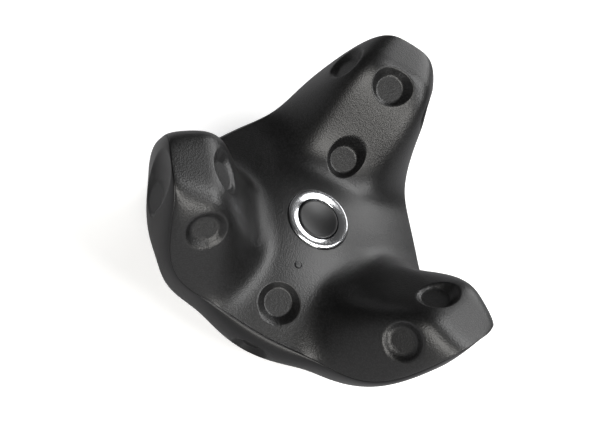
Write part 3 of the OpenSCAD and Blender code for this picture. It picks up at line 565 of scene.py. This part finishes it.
ringShape = {
    "inner": 4.9, "outer": 7.2, "crest": 24.22, "seat": 22.6, "skirt": 21.62, "skirtRadius": 6.2,
    "boreDrop": 0.6, "innerRounding": 0.3, "innerDrop": 0.5,  # drops are below the crest
    "shoulder": 1.1, "shoulderDrop": 0.06, "outerRounding": 0.45,
}


def makeRing():
    shape = ringShape
    inner, outer, crest = shape["inner"], shape["outer"], shape["crest"]
    profile = [(inner, shape["skirt"]), (inner, crest - shape["boreDrop"])]
    rounding = shape["innerRounding"]
    profile += roundCorner((inner + rounding, crest - shape["innerDrop"]), rounding, 180, 100)
    profile += [(inner + shape["shoulder"], crest - shape["shoulderDrop"])]
    rounding = shape["outerRounding"]
    profile += roundCorner((outer - rounding, crest - rounding), rounding, 90, 0)
    profile += [(outer, shape["seat"]), (shape["skirtRadius"], shape["seat"]),
                (shape["skirtRadius"], shape["skirt"]), (inner, shape["skirt"])]
    return turnedPiece("button_surround_ring", profile)


lensShape = {
    "at": -12.35, "radius": 0.65, "bottom": 18.65, "segments": 64,
    "crownRadius": 0.35, "crown": 0.06, "crownEdge": 0.05, "rounding": 0.15, "roundingDrop": 0.1,
    "bezel": 0.2, "bezelGap": 0.01, "bezelRise": 0.1, "bezelDepth": 0.6,
}


def lensTop():  # the dome's height at the indicator
    return float(topPoint(-lensShape["at"], 180.0)[2])


def makeLens():
    shape, top = lensShape, lensTop()
    rounding = shape["rounding"]
    profile = [(nearAxis, top + shape["crown"]), (shape["crownRadius"], top + shape["crownEdge"])]
    profile += roundCorner((shape["radius"] - rounding, top - shape["roundingDrop"]), rounding, 90, 0)
    profile += [(shape["radius"], shape["bottom"]), (nearAxis, shape["bottom"])]
    return turnedPiece("indicator_lens", profile, (0, shape["at"]), shape["segments"])


def makeLensBezel():  # fine moulded ring that frames the lens
    shape, top = lensShape, lensTop()
    half, foot = shape["bezel"] / 2, top - shape["bezelDepth"]
    profile = [(shape["radius"] + shape["bezelGap"], foot)]
    profile += roundCorner((shape["radius"] + half, top + shape["bezelRise"]), half, 180, 0)
    profile += [(shape["radius"] + shape["bezel"], foot)]
    return turnedPiece("indicator_bezel", profile, (0, shape["at"]), shape["segments"])


place(makeButton(), "button", "shell_plastic", "buttonCap", "power_button")
place(makeRing(), "housing", "ring_chrome", "ring_chrome", "button_ring")
place(makeLens(), "housing", "clear_plastic", "indicatorLens", "light_pipe")
bezel = makeLensBezel()
bezel.data.materials.append(materials["shell_plastic"])
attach(bezel, "housing")
print("button, ring and indicator made")


# The brass insert, whose thread is seen from below
threadShape = {
    "bore": 3.175, "outer": 5.2, "bottom": 0.4, "length": 7.2, "flange": 6.0, "flangeThickness": 0.8,
    "footChamfer": 0.2, "mouthChamfer": 0.4, "topChamfer": 0.3,
    "depth": 0.6, "pitch": 1.27, "start": 0.3, "grooveShare": 0.9, "rowsPerPitch": 10, "segments": 96,
}


def makeThreadInsert():
    shape = threadShape
    bore, outer, bottom, flange = shape["bore"], shape["outer"], shape["bottom"], shape["flange"]
    chamfer, pitch = shape["footChamfer"], shape["pitch"]
    angles = np.arange(shape["segments"]) * 360 / shape["segments"]
    top = bottom + shape["length"]
    flangeFoot = top - shape["flangeThickness"]
    outside = [(outer, flangeFoot), (outer, bottom + chamfer), (outer - chamfer, bottom),
               (bore + shape["mouthChamfer"], bottom)]
    rows = [circleRow(radius, height, angles) for radius, height in outside]
    for height in np.arange(bottom + shape["start"], top, pitch / shape["rowsPerPitch"]):
        phase = (height / pitch - angles / 360) % 1
        groove = shape["depth"] * (1 - np.abs(2 * phase - 1))
        rows.append(atTurn(bore + groove * shape["grooveShare"], angles, height + 0 * angles))
    upper = [(bore + shape["topChamfer"], top), (flange, top), (flange, flangeFoot), (outer, flangeFoot)]
    rows += [circleRow(radius, height, angles) for radius, height in upper]
    return bentGrid("tripod_thread_insert", rows)


place(makeThreadInsert(), "housing", "brass_insert", "brass_insert", "thread_insert")
print("thread insert made")


# CAD pieces that stay get the finish of their slot
replaced = {"top_shell", "bottom_shell", "power_button", "button_ring", "light_pipe", "thread_insert"}
for subpart in frame["record"]["subparts"]:
    if subpart["node"] in replaced:
        continue
    node = frame["nodes"][subpart["node"]]
    finish = materials[subpart["material_slot"]]
    if not node.material_slots:
        node.data.materials.append(finish)
    for materialSlot in node.material_slots:
        materialSlot.material = finish
print("finishes set on the pieces that stay")


# Floor, light and camera; lengths of the studio are in metres
studio = {
    "floorHalfSide": 0.85,
    "floor": "#fafafa",
    "floorReflected": "#a6a6a8",  # what the dark plastic mirrors of it
    "floorGlow": 0.4,  # lifts the paper to white, as a lit table does
    "floorRoughness": 0.9,
    "floorSpecular": 0.1,
    "world": "#ffffff",
    "worldStrength": 0.07,  # what the object reflects between the softboxes
    "backdropStrength": 0.95,
    "lampDistance": 1.0,
    "viewTransform": "Standard",
}


def makeFloor():
    side = studio["floorHalfSide"]
    corners = [(-side, -side, 0), (side, -side, 0), (side, side, 0), (-side, side, 0)]
    mesh = bpy.data.meshes.new("floor")
    mesh.from_pydata(corners, [], [(0, 1, 2, 3)])
    floor = bpy.data.objects.new("floor", mesh)
    bpy.context.scene.collection.objects.link(floor)
    material = bpy.data.materials.new("matt paper backdrop")
    material.use_nodes = True
    tree = material.node_tree
    shader = tree.nodes["Principled BSDF"]
    seen = addNode(tree, "ShaderNodeLightPath").outputs["Is Camera Ray"]
    paper = mixColours(tree, seen, studio["floorReflected"], studio["floor"])
    glow = addNode(tree, "ShaderNodeMapRange", {"To Max": studio["floorGlow"]}, {"Value": seen})
    tree.links.new(paper, shader.inputs["Base Color"])
    tree.links.new(glow.outputs["Result"], shader.inputs["Emission Strength"])
    shader.inputs["Roughness"].default_value = studio["floorRoughness"]
    shader.inputs["Specular IOR Level"].default_value = studio["floorSpecular"]
    mesh.materials.append(material)


def addSoftbox(box):
    lamp = bpy.data.lights.new(box["name"], "AREA")
    lamp.shape = "ELLIPSE"
    lamp.size, lamp.size_y = box["size"]
    lamp.energy = box["radiance"] * math.pi * lamp.size * lamp.size_y
    lamp.color = toLinear(box["colour"])[:3]
    around, up = math.radians(box["azimuth"]), math.radians(box["elevation"])
    towards = Vector((math.sin(around) * math.cos(up), math.cos(around) * math.cos(up), math.sin(up)))
    light = bpy.data.objects.new(box["name"], lamp)
    light.location = towards * studio["lampDistance"]
    light.rotation_euler = towards.to_track_quat("Z", "Y").to_euler()
    bpy.context.scene.collection.objects.link(light)


# Azimuth 0 is straight behind the object and 90 to its right; sizes are in metres
softboxes = [
    {"name": "back_softbox", "azimuth": 22, "elevation": 28, "size": (0.75, 0.5), "radiance": 3.1,
     "colour": "#ffffff"},
    {"name": "overhead_softbox", "azimuth": 60, "elevation": 64, "size": (0.65, 0.5), "radiance": 5.2,
     "colour": "#ffffff"},
    {"name": "side_softbox", "azimuth": 108, "elevation": 47, "size": (0.36, 0.36), "radiance": 7.5,
     "colour": "#ffffff"},
    {"name": "front_softbox", "azimuth": 186, "elevation": 38, "size": (0.65, 0.55), "radiance": 5.6,
     "colour": "#fffdf9"},
    {"name": "right_softbox", "azimuth": 150, "elevation": 18, "size": (0.4, 0.36), "radiance": 8.0,
     "colour": "#fffdf9"},
]


def makeWorld():
    world = bpy.data.worlds.new("pale studio")
    world.use_nodes = True
    tree = world.node_tree
    sky = tree.nodes["Background"]
    sky.inputs["Color"].default_value = toLinear(studio["world"])
    seen = addNode(tree, "ShaderNodeLightPath").outputs["Is Camera Ray"]
    strength = addNode(tree, "ShaderNodeMapRange", {"To Min": studio["worldStrength"],
                       "To Max": studio["backdropStrength"]}, {"Value": seen})
    tree.links.new(strength.outputs["Result"], sky.inputs["Strength"])
    bpy.context.scene.world = world


makeWorld()
makeFloor()
for softbox in softboxes:
    addSoftbox(softbox)
bpy.context.scene.view_settings.view_transform = studio["viewTransform"]

viewpoint = {
    "place": (-47.15, -148.17, 223.49),  # millimetres, fitted to the photograph like the axes and the lens
    "right": (0.8524, 0.31679, 0.41601),
    "down": (0.49477, -0.74603, -0.44569),
    "forward": (0.16916, 0.58574, -0.79265),
    "lens": 69.0,
    "sensor": 36.0,
    "clipStart": 0.01,
}
cameraData = bpy.data.cameras.new("camera")
cameraData.lens = viewpoint["lens"]
cameraData.sensor_width = viewpoint["sensor"]
cameraData.sensor_fit = "HORIZONTAL"
cameraData.clip_start = viewpoint["clipStart"]
camera = bpy.data.objects.new("camera", cameraData)
axes = [Vector(viewpoint["right"]), -Vector(viewpoint["down"]), -Vector(viewpoint["forward"])]
standpoint = Matrix.Translation(Vector(viewpoint["place"]) * mm)
camera.matrix_world = standpoint @ Matrix(axes).transposed().to_4x4()
bpy.context.scene.collection.objects.link(camera)
bpy.context.scene.camera = camera
print("floor, light and camera set")
